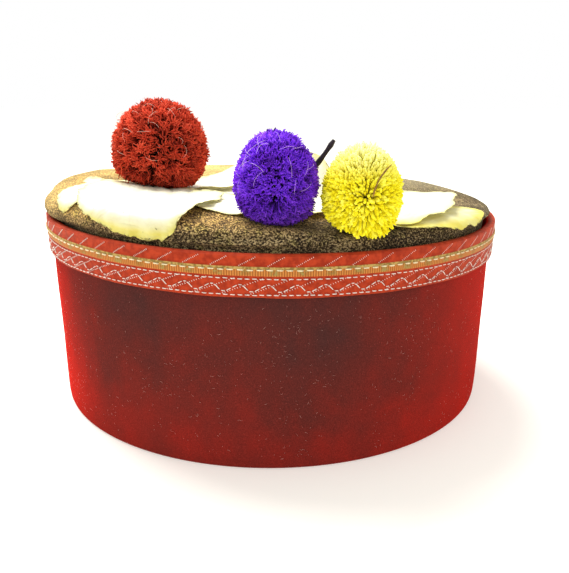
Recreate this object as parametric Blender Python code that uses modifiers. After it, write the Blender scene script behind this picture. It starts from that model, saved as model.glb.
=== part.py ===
"""Pahadi cap: a round woollen cap with a soft flat crown and a stiff upturned velvet band.

A woven ribbon edges the top of the band. Three wool pompoms sit on the crown, each on a spray of
papery winged-seed petals. All lengths are in metres, +Z is up, and the cap stands on Z = 0 round
the Z axis. A bearing is an angle round the cap in degrees: 0 is the front (-Y), 90 the right (+X).
"""

import math
import random

import bmesh
import bpy
import numpy as np
from mathutils import Euler, Vector
from mathutils.bvhtree import BVHTree

# The velvet band
BASE_RADIUS = 0.0950        # outside of the band where it stands
RIM_SPREAD = 0.0013         # how much wider the band is at its rim than at its base
BAND_HEIGHT = 0.0783        # mean height of the rim
RIM_LEAN = 0.0014           # the rim is this much higher at the left and lower at the right
BAND_WALL = 0.0026          # velvet over stiffened wool
BAND_EDGE = 0.0008          # rounding of the band's top and bottom edges

# The ribbon sewn round the top of the band
RIBBON_WIDTH = 0.0141
RIBBON_THICKNESS = 0.0009
BRAID_TOP = 0.0036          # from the ribbon's top edge down to the raised braid
BRAID_WIDTH = 0.0031
BRAID_RAISE = 0.0003        # how proud the braid stands of the ribbon

# The woollen crown
CROWN_WALL = 0.0022
CROWN_SLACK = 0.0009        # extra room between crown and band at the rim
CROWN_RISE = 0.0105         # height of the crown's brow over the rim
CROWN_PUFF = 0.0039         # how far the crown swells out over the rim
HEM_LIFT = 0.0006           # the crown's hem ends this much over the band's foot

# Pompoms and petals
LOCK_LENGTH = 0.0042        # length of a pompom's cut wool ends
LOCK_TAPER = 0.62           # a lock's end against its root
LOCK_SPREAD = 0.30          # how unequal the locks are, as a share of their length
PRESSED = 0.0050            # height over its seat up to which a pompom is squashed
PETAL_LENGTH = 0.070        # a papery winged seed, tip to tip
PETAL_WIDTH = 0.046
PETAL_THICKNESS = 0.0006
PETAL_START = 0.0040        # from the middle of the spray to a petal's inner end
CURL_RADIUS = 0.012
RUFFLE = 0.0007             # height of the waves along a petal's edge
PETAL_AIR = 0.0020          # between a petal that curls up and its pompom

HANG = 0.0036               # how far a petal can hang below the crown's widest ring
CLEARANCE = 0.0003          # between pieces that touch
MERGE = 0.00002             # points nearer than this are one
SEARCH = 0.012              # how far over a face its support is looked for
LIFT_STEP = 0.001           # the most that a sheet is raised in one pass
SLOPE_STEP = 0.006          # over which the crown's slope is measured
STRAIGHT_UP = 0.7           # share of +Z in the direction that a sheet is lifted in
HOLD = 0.0036               # a pompom rests on whatever lies within this of a point
AROUND = 56                 # facets round the cap

# The crown from its middle out to the rim. out is a share of its radius at the rim, puff a share
# of CROWN_PUFF, up a share of CROWN_RISE over the rim.
CROWN_SECTIONS = (
    # name, out, puff, up
    ("middle", 0.00, 0.00, 0.88),
    ("inner top", 0.35, 0.00, 0.90),
    ("outer top", 0.66, 0.00, 0.96),
    ("brow", 0.86, 0.00, 1.00),
    ("shoulder", 0.945, 0.25, 0.98),
    ("edge", 0.985, 0.70, 0.86),
    ("widest", 1.00, 1.00, 0.56),
    ("tuck", 1.00, 0.72, 0.18),
    ("rim", 1.00, 0.00, 0.00),
)

# How the crown changes round the cap. rise and puff are shares of CROWN_RISE and CROWN_PUFF.
CROWN_ROUND = (
    # bearing, rise, puff
    (0, 0.97, 0.55),
    (45, 0.78, 0.35),
    (90, 0.50, 0.15),
    (135, 0.60, 0.30),
    (180, 0.74, 0.45),
    (225, 0.92, 0.75),
    (270, 1.20, 1.15),
    (315, 1.10, 1.00),
)

# Creases and sags in the crown. spread is a half angle, along runs from 0 at the middle to 1 at the
# rim, width is a half width in the same share, and depth a share of CROWN_RISE.
CROWN_FOLDS = (
    # name, bearing, spread, along, width, depth
    ("left crease", 268, 46, 0.900, 0.030, 0.150),
    ("left hollow", 300, 40, 0.955, 0.030, 0.080),
    ("front crease", 345, 30, 0.835, 0.035, 0.110),
    ("front ripple", 338, 34, 0.915, 0.028, 0.085),
    ("under red", 293, 50, 0.475, 0.210, 0.170),
    ("under purple", 2, 22, 0.820, 0.100, 0.180),
    ("under yellow", 22, 26, 0.890, 0.110, 0.360),
    ("right sag", 80, 50, 0.620, 0.260, 0.120),
    ("middle hollow", 150, 80, 0.350, 0.250, 0.100),
)

# Rows of the crown's mesh: shares of the way from the middle to the rim, then heights inside the
# band as shares of the rim's height.
TOP_ROWS = (0.0, 0.22, 0.44, 0.62, 0.74, 0.82, 0.87, 0.91, 0.95, 0.98, 1.0)
SIDE_ROWS = (0.93, 0.62, 0.30, HEM_LIFT / BAND_HEIGHT)

# The pompoms. out is the distance of its foot from the crown's middle as a share of the way to the
# rim, lift the height of its middle over its seat as a share of its height, and forward how far its
# middle leans out over its foot as a share of its width.
POMPOMS = (
    # name, bearing, out, width, height, lift, forward, seed
    ("pompom_red", 293, 0.465, 0.0412, 0.0438, 0.38, 0.00, 3),
    ("pompom_purple", 2, 0.770, 0.0287, 0.0368, 0.32, 0.08, 5),
    ("pompom_yellow", 20.5, 0.840, 0.0272, 0.0362, 0.29, 0.12, 8),
)

# The petals of each spray, from the crown up. heading is the bearing that the petal points to from
# the pompom's foot, length and width are shares of PETAL_LENGTH and PETAL_WIDTH, and curl is the
# angle that the petal's end turns up beyond the pompom.
PETALS = (
    # name, pompom, heading, length, width, curl, seed
    ("petal_left", "pompom_red", 290, 0.40, 0.56, 0, 13),
    ("petal_front_left", "pompom_red", 326, 0.70, 0.62, 0, 12),
    ("petal_middle", "pompom_red", 84, 0.72, 0.80, 0, 14),
    ("petal_middle_front", "pompom_purple", 224, 0.66, 0.76, 0, 18),
    ("petal_front", "pompom_red", 4, 1.04, 1.14, 0, 11),
    ("petal_middle_raised", "pompom_red", 118, 0.66, 0.72, 32, 15),
    ("petal_back", "pompom_purple", 166, 0.60, 0.80, 50, 16),
    ("petal_right", "pompom_yellow", 124, 0.76, 0.56, 0, 17),
    ("petal_right_raised", "pompom_yellow", 140, 0.84, 0.70, 6, 19),
)

COLOURS = {
    # name: (red, green, blue, roughness), linear
    "velvet": (0.190, 0.012, 0.010, 0.85),
    "ribbon": (0.520, 0.050, 0.018, 0.75),
    "tweed": (0.110, 0.075, 0.042, 0.95),
    "red wool": (0.420, 0.014, 0.008, 0.95),
    "purple wool": (0.085, 0.010, 0.420, 0.95),
    "yellow wool": (0.850, 0.680, 0.020, 0.95),
    "papery petal": (0.870, 0.840, 0.600, 0.60),
}


def smooth(share):
    """An easy ramp from 0 to 1."""
    share = min(1.0, max(0.0, share))
    return share * share * (3 - 2 * share)


def around(bearing, column):
    """A column of CROWN_ROUND at any bearing, on a smooth closed curve through its rows."""
    count = len(CROWN_ROUND)
    place = (bearing % 360) / (360 / count)
    first = int(place) % count
    share = place - int(place)
    before, start, end, after = (CROWN_ROUND[(first + k) % count][column] for k in (-1, 0, 1, 2))
    slope_in, slope_out = (end - before) / 2, (after - start) / 2
    return (
        start * (1 + 2 * share) * (1 - share) ** 2
        + slope_in * share * (1 - share) ** 2
        + end * share**2 * (3 - 2 * share)
        + slope_out * share**2 * (share - 1)
    )


def mean_of(column):
    return sum(row[column] for row in CROWN_ROUND) / len(CROWN_ROUND)


def plan(radius, bearing):
    """The point at this distance from the cap's axis, as x and y."""
    angle = math.radians(bearing)
    return radius * math.sin(angle), -radius * math.cos(angle)


def band_radius(share):
    """The band's outside radius at a share of its height. It flares gently towards the rim."""
    return BASE_RADIUS + RIM_SPREAD * (0.65 * share + 0.35 * share**3)


def lean(x, share):
    """How much higher than the mean the leaning rim lies at x, at a share of the band's height."""
    return -RIM_LEAN * share * x / (BASE_RADIUS + RIM_SPREAD)


def crown_wall_radius(share):
    """The crown's outside radius inside the band, at a share of the band's height."""
    return band_radius(share) - BAND_WALL - CLEARANCE - CROWN_SLACK * share


def crown_meridian(bearing, steps=6):
    """The crown's outside from its middle to the rim at one bearing, as an array of radius, height
    and length from the middle. Folds are pressed in along the surface's normal."""
    rise, puff = around(bearing, 1), around(bearing, 2)
    rim_radius = crown_wall_radius(1.0)
    rows = []
    for _, out, puffed, up in CROWN_SECTIONS:
        own = smooth(out)
        rim = BAND_HEIGHT + own * lean(plan(rim_radius, bearing)[0], 1.0)
        height = own * rise + (1 - own) * mean_of(1)
        rows.append((rim_radius * out + CROWN_PUFF * puff * puffed, rim + CROWN_RISE * height * up))
    rows = np.array(rows)
    ghost_in = rows[1] * (-1, 1)
    ghost_out = 2 * rows[-1] - rows[-2]
    ghosted = np.vstack([ghost_in, rows, ghost_out])
    points = []
    for k in range(1, len(rows)):
        before, start, end, after = ghosted[k - 1 : k + 3]
        for share in np.arange(steps) / steps:
            points.append(
                0.5
                * (
                    2 * start
                    + (end - before) * share
                    + (2 * before - 5 * start + 4 * end - after) * share**2
                    + (3 * start - before - 3 * end + after) * share**3
                )
            )
    points.append(rows[-1])
    points = np.array(points)
    length = np.concatenate([[0], np.cumsum(np.hypot(*np.diff(points, axis=0).T))])
    slope = np.gradient(points, axis=0)
    normal = np.stack([-slope[:, 1], slope[:, 0]], 1) / np.hypot(*slope.T)[:, None]
    share = length / length[-1]
    dip = np.zeros(len(share))
    for _, at, spread, along, width, depth in CROWN_FOLDS:
        apart = abs((bearing - at + 180) % 360 - 180)
        if apart < spread:
            sideways = math.cos(math.pi / 2 * apart / spread) ** 2
            dip += depth * sideways * np.exp(-(((share - along) / width) ** 2))
    fade = np.clip((1 - share) / 0.05, 0, 1) * np.clip(share / 0.20, 0, 1)
    points -= normal * (CROWN_RISE * dip * fade)[:, None]
    return np.column_stack([points, length])


MERIDIANS = {}


def meridian(bearing):
    """crown_meridian at the nearest half degree, worked out once."""
    key = round(bearing * 2) % 720
    if key not in MERIDIANS:
        MERIDIANS[key] = crown_meridian(key / 2)
    return MERIDIANS[key]


def on_crown(x, y):
    """The point of the crown that lies under x and y when its surface is rolled out flat. Past the
    crown's widest ring the sheet hangs straight down, gathered so that it clears the ribbon."""
    bearing = math.degrees(math.atan2(x, -y))
    line = meridian(bearing)
    widest = line[int(line[:, 0].argmax()), 2]
    reach = math.hypot(x, y)
    radius = np.interp(min(reach, widest), line[:, 2], line[:, 0])
    height = np.interp(min(reach, widest), line[:, 2], line[:, 1])
    if reach > widest:
        height -= HANG * (1 - math.exp((widest - reach) / HANG))
    return Vector((*plan(radius, bearing), height))


def crown_up(x, y):
    """The direction in which a sheet is lifted off the crown at a rolled-out point."""
    along_x = on_crown(x + SLOPE_STEP, y) - on_crown(x - SLOPE_STEP, y)
    along_y = on_crown(x, y + SLOPE_STEP) - on_crown(x, y - SLOPE_STEP)
    return (along_x.cross(along_y).normalized() + Vector((0, 0, STRAIGHT_UP))).normalized()


def crown_height(x, y):
    """The crown's height straight under a point, or that of its widest ring beyond it."""
    line = meridian(math.degrees(math.atan2(x, -y)))
    top = line[: int(line[:, 0].argmax()) + 1]
    return float(np.interp(math.hypot(x, y), top[:, 0], top[:, 1]))


def material(name):
    red, green, blue, roughness = COLOURS[name]
    made = bpy.data.materials.new(name)
    made.use_nodes = True
    shader = made.node_tree.nodes["Principled BSDF"]
    shader.inputs["Base Color"].default_value = (red, green, blue, 1)
    shader.inputs["Roughness"].default_value = roughness
    shader.inputs["Metallic"].default_value = 0
    return made


def add_piece(name, mesh, finish, collection):
    """A named object with its own material, shaded smooth but for its sharp edges."""
    piece = bpy.data.objects.new(name, mesh)
    mesh.materials.clear()
    mesh.materials.append(material(finish))
    collection.objects.link(piece)
    mesh.shade_smooth()
    mesh.set_sharp_from_angle(angle=math.radians(50))
    return piece


def evaluated_mesh(thing):
    graph = bpy.context.evaluated_depsgraph_get()
    return bpy.data.meshes.new_from_object(thing.evaluated_get(graph))


def turned_ring(name, profile, finish, collection):
    """A closed profile of radius and height turned round the axis, then leaned with the rim."""
    mesh = bpy.data.meshes.new(name + "_profile")
    count = len(profile)
    corners = [(radius, 0, height) for radius, height in profile]
    mesh.from_pydata(corners, [(k, (k + 1) % count) for k in range(count)], [])
    guide = bpy.data.objects.new(name + "_profile", mesh)
    collection.objects.link(guide)
    turn = guide.modifiers.new("turn", "SCREW")
    turn.steps = turn.render_steps = AROUND
    turn.use_merge_vertices = True
    turn.merge_threshold = MERGE
    turned = evaluated_mesh(guide)
    bpy.data.objects.remove(guide)
    for vertex in turned.vertices:
        vertex.co.z += lean(vertex.co.x, vertex.co.z / BAND_HEIGHT)
    shell = bmesh.new()
    shell.from_mesh(turned)
    bmesh.ops.remove_doubles(shell, verts=shell.verts, dist=MERGE)
    bmesh.ops.recalc_face_normals(shell, faces=shell.faces)
    shell.to_mesh(turned)
    shell.free()
    return add_piece(name, turned, finish, collection)


def make_band(collection):
    """The stiff velvet band: a wall with rounded edges, flared a little at the rim."""
    wall_rows = 4
    outside = [
        (band_radius(share), BAND_HEIGHT * share)
        for share in np.linspace(1 - BAND_EDGE / BAND_HEIGHT, BAND_EDGE / BAND_HEIGHT, wall_rows)
    ]
    inside = [(radius - BAND_WALL, height) for radius, height in reversed(outside)]
    foot = [(BASE_RADIUS - BAND_EDGE, 0), (BASE_RADIUS - BAND_WALL + BAND_EDGE, 0)]
    rim = band_radius(1)
    top = [(rim - BAND_WALL + BAND_EDGE, BAND_HEIGHT), (rim - BAND_EDGE, BAND_HEIGHT)]
    return turned_ring("velvet_band", outside + foot + inside + top, "velvet", collection)


def make_ribbon(collection):
    """The ribbon round the band's top, with its raised braid between two flat stripes."""

    def outside(below, proud):
        """A point of the ribbon's face at this distance below its top edge."""
        height = BAND_HEIGHT - below
        return band_radius(height / BAND_HEIGHT) + CLEARANCE + proud, height

    braid_end = BRAID_TOP + BRAID_WIDTH
    face = [
        outside(0, RIBBON_THICKNESS),
        outside(BRAID_TOP, RIBBON_THICKNESS),
        outside(BRAID_TOP + BRAID_RAISE, RIBBON_THICKNESS + BRAID_RAISE),
        outside(braid_end - BRAID_RAISE, RIBBON_THICKNESS + BRAID_RAISE),
        outside(braid_end, RIBBON_THICKNESS),
        outside(RIBBON_WIDTH, RIBBON_THICKNESS),
    ]
    back = [outside(RIBBON_WIDTH, 0), outside(0, 0)]
    return turned_ring("ribbon", face + back, "ribbon", collection)


def make_crown(collection):
    """The woollen crown and its side wall inside the band: an open skin with thickness inwards."""
    skin = bmesh.new()
    rows = len(TOP_ROWS) + len(SIDE_ROWS) - 1
    bmesh.ops.create_grid(skin, x_segments=AROUND, y_segments=rows, size=0.5)
    for vertex in skin.verts:
        bearing = 90 - 360 * (vertex.co.x + 0.5)
        row = round((vertex.co.y + 0.5) * rows)
        line = meridian(bearing)
        if row < len(TOP_ROWS):
            reach = TOP_ROWS[row] * line[-1, 2]
            radius = np.interp(reach, line[:, 2], line[:, 0])
            height = np.interp(reach, line[:, 2], line[:, 1])
        else:
            share = SIDE_ROWS[row - len(TOP_ROWS)]
            radius = crown_wall_radius(share)
            height = BAND_HEIGHT * share + lean(plan(radius, bearing)[0], share)
        vertex.co = (*plan(radius, bearing), height)
    bmesh.ops.remove_doubles(skin, verts=skin.verts, dist=MERGE)
    bmesh.ops.triangulate(skin, faces=skin.faces)
    mesh = bpy.data.meshes.new("crown")
    skin.to_mesh(mesh)
    skin.free()
    crown = add_piece("crown", mesh, "tweed", collection)
    wall = crown.modifiers.new("wall", "SOLIDIFY")
    wall.thickness = CROWN_WALL
    wall.offset = -1
    return crown


def foot_of(row):
    """A pompom's foot in the rolled-out plan of the crown."""
    _, bearing, out = row[:3]
    return plan(out * meridian(bearing)[-1, 2], bearing)


def support(piece):
    """A finished piece's surface, for others to be laid on."""
    mesh = evaluated_mesh(piece)
    tree = BVHTree.FromPolygons([v.co for v in mesh.vertices], [p.vertices for p in mesh.polygons])
    bpy.data.meshes.remove(mesh)
    return tree


def settle(shape, ups, supports, passes=12):
    """Raises a shape's vertices along their own directions until its faces clear the supports."""
    for _ in range(passes):
        short = {}
        for face in shape.faces:
            up = sum((ups[vertex.index] for vertex in face.verts), Vector()).normalized()
            centre = face.calc_center_median()
            rim = [vertex.co for vertex in face.verts]
            rim += [(edge.verts[0].co + edge.verts[1].co) / 2 for edge in face.edges]
            for spot in rim + [(spot + centre) / 2 for spot in rim] + [centre]:
                for tree in supports:
                    away = tree.ray_cast(spot + up * SEARCH, -up, SEARCH + CLEARANCE)[3]
                    if away is None:
                        continue
                    for vertex in face.verts:
                        lack = min(SEARCH + 1.05 * CLEARANCE - away, LIFT_STEP)
                        short[vertex] = max(short.get(vertex, 0), lack)
        for vertex, lack in short.items():
            vertex.co += ups[vertex.index] * lack
        if not short:
            return


def make_pompom(row, supports, collection):
    """A wool ball with its cut ends as short locks, pressed flat where it sits on the petals."""
    name, bearing, _, width, height, lift, forward, seed = row
    chance = random.Random(seed)
    foot = on_crown(*foot_of(row))

    def seat_at(x, y):
        """The height of what lies under the pompom within a little of a point."""
        spots = [(x, y)] + [(x + HOLD * math.cos(k), y + HOLD * math.sin(k)) for k in range(6)]
        starts = [Vector((*spot, foot.z + SEARCH)) for spot in spots]
        hits = [tree.ray_cast(at, Vector((0, 0, -1)))[0] for tree in supports for at in starts]
        return max([hit.z for hit in hits if hit] + [crown_height(x, y)])

    reach = plan(forward * width, bearing)
    middle = Vector((foot.x + reach[0], foot.y + reach[1], seat_at(foot.x, foot.y) + lift * height))
    ball = bmesh.new()
    bmesh.ops.create_icosphere(ball, subdivisions=1, radius=1)
    bmesh.ops.subdivide_edges(ball, edges=ball.edges, cuts=2, use_grid_fill=True)
    for vertex in ball.verts:
        vertex.co.normalize()
    half = (width + height) / 4
    root = 1 - LOCK_LENGTH / half
    locks = bmesh.ops.extrude_discrete_faces(ball, faces=ball.faces)["faces"]
    tips = set()
    for lock in locks:
        centre = lock.calc_center_median().normalized()
        tall = 1 + (LOCK_LENGTH / half) * LOCK_SPREAD * chance.uniform(-1, 0.15)
        for vertex in lock.verts:
            tips.add(vertex)
            vertex.co = (centre + (vertex.co - centre) * LOCK_TAPER) * tall
    for vertex in ball.verts:
        if vertex not in tips:
            vertex.co *= root
    bmesh.ops.remove_doubles(ball, verts=ball.verts, dist=MERGE)
    turn = Euler((0.4 * seed, 0.7 * seed, 0.0)).to_matrix()
    lowest = (lift - 0.5) * height
    for vertex in ball.verts:
        spun = turn @ vertex.co
        x, y = middle.x + spun.x * width / 2, middle.y + spun.y * width / 2
        z = middle.z + spun.z * height / 2
        seat = seat_at(x, y)
        if z < seat + PRESSED:
            squash = max(0.0, (z - seat - lowest) / (PRESSED - lowest))
            z = seat + CLEARANCE + (PRESSED - CLEARANCE) * squash**1.3
        vertex.co = (x, y, z)
    ball.verts.index_update()
    down = Vector((0, 0, -1))
    falls = [tree.ray_cast(v.co, down, SEARCH)[3] for tree in supports for v in ball.verts]
    bmesh.ops.translate(ball, verts=ball.verts, vec=down * (min(filter(None, falls)) - CLEARANCE))
    settle(ball, [-down] * len(ball.verts), supports)
    mesh = bpy.data.meshes.new(name)
    ball.to_mesh(mesh)
    ball.free()
    finish = name.split("_")[1] + " wool"
    return add_piece(name, mesh, finish, collection)


def petal_outline(along):
    """Half width of a petal at a share of its length: narrow at its root, broad, then a blunt tip."""
    return (0.16 + 0.84 * math.sin(math.pi * along**0.8) ** 0.6) * 0.5


def make_petal(row, pompoms, supports, collection):
    """A papery petal laid on the crown from under its pompom, its end curled up past the pompom."""
    name, owner, heading, length, width, curl, seed = row
    spray = pompoms[owner]
    foot = Vector(foot_of(spray))
    ahead = Vector(plan(1, heading))
    across = Vector(plan(1, heading + 90))
    half_ball = spray[3] / 2
    length *= PETAL_LENGTH
    width *= PETAL_WIDTH
    free = half_ball + PETAL_AIR
    chance = random.Random(seed)
    waves = [(chance.uniform(2.0, 5.0), chance.uniform(0, math.tau)) for _ in range(3)]
    sheet = bmesh.new()
    bmesh.ops.create_grid(sheet, x_segments=10, y_segments=6, size=0.5)
    bmesh.ops.triangulate(sheet, faces=sheet.faces)
    sheet.verts.index_update()
    ups = []
    for vertex in sheet.verts:
        along, side = vertex.co.x + 0.5, vertex.co.y * 2
        run = PETAL_START + along * length
        sway = side * petal_outline(along) * width
        rise = 0.0
        past = run - free
        if curl and past > 0:
            turned = min(past / CURL_RADIUS, math.radians(curl))
            run = free + CURL_RADIUS * math.sin(turned)
            rise = CURL_RADIUS * (1 - math.cos(turned))
            straight = past - CURL_RADIUS * turned
            run += straight * math.cos(turned)
            rise += straight * math.sin(turned)
        wave = sum(math.sin(rate * math.pi * along + phase + side) for rate, phase in waves) / 3
        loose = smooth((run - half_ball) / (0.5 * half_ball)) * abs(side) ** 1.5
        rise += RUFFLE * (1 + wave) / 2 * loose
        flat = foot + ahead * run + across * sway
        ups.append(crown_up(*flat))
        vertex.co = on_crown(*flat) + ups[-1] * (CLEARANCE + rise)
    settle(sheet, ups, supports)
    mesh = bpy.data.meshes.new(name)
    sheet.to_mesh(mesh)
    sheet.free()
    petal = add_piece(name, mesh, "papery petal", collection)
    skin = petal.modifiers.new("thickness", "SOLIDIFY")
    skin.thickness = PETAL_THICKNESS
    skin.offset = 1
    return petal


def build():
    for thing in list(bpy.data.objects):
        bpy.data.objects.remove(thing)
    cap = bpy.data.collections.new("pahadi_cap")
    bpy.context.scene.collection.children.link(cap)
    make_band(cap)
    supports = [support(piece) for piece in (make_ribbon(cap), make_crown(cap))]
    pompoms = {row[0]: row for row in POMPOMS}
    for row in PETALS:
        supports.append(support(make_petal(row, pompoms, supports, cap)))
    for row in POMPOMS:
        make_pompom(row, supports, cap)


build()
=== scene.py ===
"""Dresses the pahadi cap: crushed velvet, woven ribbon, tweed, wool pompoms and papery petals.

All lengths are in metres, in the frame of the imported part. A bearing is an angle round the cap in
degrees: 0 is the front (-Y), 90 the right (+X).
"""

import math
import random

import bmesh
import bpy
import numpy as np
from mathutils import Euler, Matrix, Vector, kdtree, noise
from mathutils.bvhtree import BVHTree


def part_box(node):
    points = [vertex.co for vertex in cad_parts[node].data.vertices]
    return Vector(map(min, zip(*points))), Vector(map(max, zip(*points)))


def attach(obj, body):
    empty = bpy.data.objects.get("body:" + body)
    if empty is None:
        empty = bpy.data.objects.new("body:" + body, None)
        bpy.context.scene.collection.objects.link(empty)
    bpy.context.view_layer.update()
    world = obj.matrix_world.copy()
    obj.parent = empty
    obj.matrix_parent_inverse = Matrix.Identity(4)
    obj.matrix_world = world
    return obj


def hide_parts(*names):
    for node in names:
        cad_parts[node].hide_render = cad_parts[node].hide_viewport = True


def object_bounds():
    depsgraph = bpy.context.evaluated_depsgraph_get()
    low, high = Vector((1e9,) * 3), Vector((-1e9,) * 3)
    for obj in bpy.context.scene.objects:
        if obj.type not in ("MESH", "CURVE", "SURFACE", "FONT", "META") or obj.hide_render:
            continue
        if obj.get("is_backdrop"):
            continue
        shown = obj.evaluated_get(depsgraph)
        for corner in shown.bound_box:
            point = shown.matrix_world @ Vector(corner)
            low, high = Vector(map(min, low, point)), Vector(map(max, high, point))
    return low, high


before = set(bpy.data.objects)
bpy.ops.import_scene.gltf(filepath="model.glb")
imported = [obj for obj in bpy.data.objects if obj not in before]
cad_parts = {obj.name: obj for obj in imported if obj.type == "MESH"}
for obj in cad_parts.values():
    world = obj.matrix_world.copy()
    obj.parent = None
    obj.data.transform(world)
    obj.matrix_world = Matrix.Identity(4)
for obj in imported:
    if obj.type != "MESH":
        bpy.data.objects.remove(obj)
cad_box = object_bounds()
noise.seed_set(3)           # noise_vector starts from the clock without it

# The photograph's camera
PHOTO_SIZE = (569, 573)
FOCAL_PIXELS = 666.3
CAMERA_PLACE = (0.0057, -0.3019, 0.1291)
CAMERA_PITCH = 16.56        # degrees below the horizon
CAMERA_ROLL = 0.2

# The band and its ribbon, as in the part
RIM_HEIGHT = 0.0783
RIM_LEAN = 0.0014
BASE_RADIUS = 0.0950
RIM_SPREAD = 0.0013
RIBBON_WIDTH = 0.0141
RIBBON_STAND = 0.0012       # from the band's face to the ribbon's
RIBBON_SHEET = 0.0005
BRAID_SHARES = (0.255, 0.475)
BRAID_RAISE = 0.0003
REPEATS = 66                # of the ribbon's woven pattern round the cap
RIBBON_STEPS = 9            # columns of the ribbon's sheet in each repeat
THREAD = 0.00019            # half width of the ribbon's white threads
CREAM_THREAD = 0.00026      # half width of the cream dashes on its braid

RUMPLE = 0.00035            # how far the cloth's uneven form goes in and out
RIPPLE = 0.00050            # the same of the fine folds at the front of the crown's edge
OVERHANG = 0.0026           # how far the crown's wool bulges over the rim at the sides
HAIR = 0.00005              # half width of the pompoms' long hairs

PETAL_SHEET = 0.00014       # thickness of a papery petal
PETAL_RIM = 0.00075         # a little over the thickness of the part's petals
PETAL_CLEARANCE = 0.00035   # from the crown's wool
FLAP_TOP = 0.0885           # below it a petal hangs over the crown's edge
FLAP_DROP = 0.006
FLAP_LEAN = 0.0035          # how far the hanging end leans to the right

# Half widths along the dark stalk and along the brown thread
STALK_WIDTHS = (0.0004, 0.0007, 0.0009, 0.0010, 0.0009, 0.0008, 0.0008, 0.0010, 0.0006)
BROWN_WIDTHS = (0.0002, 0.0003, 0.0003, 0.00028, 0.0003, 0.00026, 0.0003, 0.0002, 0.0001)

# The studio
FLOOR_COLOUR = (0.79, 0.765, 0.69, 1)
FLOOR_GLOW_COLOUR = (1.0, 0.99, 0.96, 1)
FLOOR_GLOW = 0.32           # lifts the floor to the photograph's near white
KEY_PLACE = (-0.26, 0.38, 0.78)
KEY_AIM = (0, 0, 0.08)
KEY_SIZE = 0.7
KEY_WATTS = 17.5


def deselect():
    bpy.ops.object.select_all(action="DESELECT")


def plan(radius, bearing):
    """The point at this distance from the cap's axis, as x and y."""
    angle = math.radians(bearing)
    return radius * math.sin(angle), -radius * math.cos(angle)


def smooth(share):
    """An easy ramp from 0 to 1."""
    share = np.clip(share, 0, 1)
    return share * share * (3 - 2 * share)


def band_radius(share):
    return BASE_RADIUS + RIM_SPREAD * (0.65 * share + 0.35 * share**3)


def rim_lean(x, share):
    return -RIM_LEAN * share * x / (BASE_RADIUS + RIM_SPREAD)


class Value:
    """A node's output. Arithmetic on it adds the Math nodes."""

    def __init__(self, finish, socket):
        self.finish = finish
        self.socket = socket

    def math(self, operation, *others, clamp=False):
        settings = {"operation": operation, "use_clamp": clamp}
        return self.finish.add("Math", settings, dict(enumerate((self, *others))))

    def __add__(self, other):
        return self.math("ADD", other)

    __radd__ = __add__

    def __mul__(self, other):
        return self.math("MULTIPLY", other)

    __rmul__ = __mul__

    def __sub__(self, other):
        return self.math("SUBTRACT", other)

    def __rsub__(self, other):
        return (self * -1.0).math("ADD", other)

    def __truediv__(self, other):
        return self.math("DIVIDE", other)

    def clamp(self):
        return self.math("ADD", 0.0, clamp=True)

    def fraction(self):
        return self.math("FRACT")

    def ramp(self, low, high):
        """0 below low, 1 above high, easy between."""
        settings = {"interpolation_type": "SMOOTHSTEP"}
        return self.finish.add("MapRange", settings, {0: self, 1: low, 2: high, 3: 0.0, 4: 1.0})

    def band(self, low, high, soft):
        """1 between low and high, with soft edges."""
        return self.ramp(low - soft, low + soft) * (1.0 - self.ramp(high - soft, high + soft))


class Finish:
    """A material, built node by node."""

    def __init__(self, name):
        self.material = bpy.data.materials.new(name)
        self.material.use_nodes = True
        self.tree = self.material.node_tree
        self.tree.nodes.clear()

    def add(self, kind, settings=None, inputs=None, output=0):
        """Adds a node: its settings first, then the values or links of its sockets."""
        node = self.tree.nodes.new("ShaderNode" + kind)
        for name, value in (settings or {}).items():
            if name == "stops":
                ramp = node.color_ramp
                while len(ramp.elements) < len(value):
                    ramp.elements.new(0.5)
                for element, (place, colour) in zip(ramp.elements, value):
                    element.position = place
                    element.color = (*colour, 1)
            else:
                setattr(node, name, value)
        for name, value in (inputs or {}).items():
            if isinstance(value, Value):
                self.tree.links.new(value.socket, node.inputs[name])
            elif isinstance(value, tuple) and len(value) == 3 and node.inputs[name].type == "RGBA":
                node.inputs[name].default_value = (*value, 1)
            else:
                node.inputs[name].default_value = value
        return Value(self, node.outputs[output])

    def where(self, scale=(1, 1, 1), turn=(0, 0, 0)):
        """Object coordinates, scaled."""
        place = self.add("TexCoord", output="Object")
        return self.add("Mapping", None, {"Vector": place, "Scale": scale, "Rotation": turn})

    def noise(self, scale, detail=2.0, roughness=0.5, vector=None, distortion=0.0):
        inputs = {"Scale": scale, "Detail": detail, "Roughness": roughness, "Distortion": distortion}
        inputs["Vector"] = vector or self.where()
        return self.add("TexNoise", None, inputs)

    def stops(self, factor, *stops):
        return self.add("ValToRGB", {"stops": stops}, {"Fac": factor})

    def mix(self, factor, first, second, blend="MIX"):
        settings = {"data_type": "RGBA", "blend_type": blend}
        return self.add("Mix", settings, {0: factor, 6: first, 7: second}, output=2)

    def attribute(self, name, channel):
        """One channel of the piece's own colour attribute."""
        colour = self.add("Attribute", {"attribute_name": name}, output="Color")
        return self.add("SeparateColor", None, {"Color": colour}, output=channel)

    def bump(self, height, strength, distance):
        inputs = {"Height": height, "Strength": strength, "Distance": distance}
        return self.add("Bump", None, inputs, output="Normal")

    def shade(self, **inputs):
        """A Principled shader from its sockets' names, with underscores for spaces."""
        named = {name.replace("_", " "): value for name, value in inputs.items()}
        return self.add("BsdfPrincipled", None, named)

    def done(self, shader):
        output = self.tree.nodes.new("ShaderNodeOutputMaterial")
        self.tree.links.new(shader.socket, output.inputs["Surface"])
        return self.material


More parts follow.
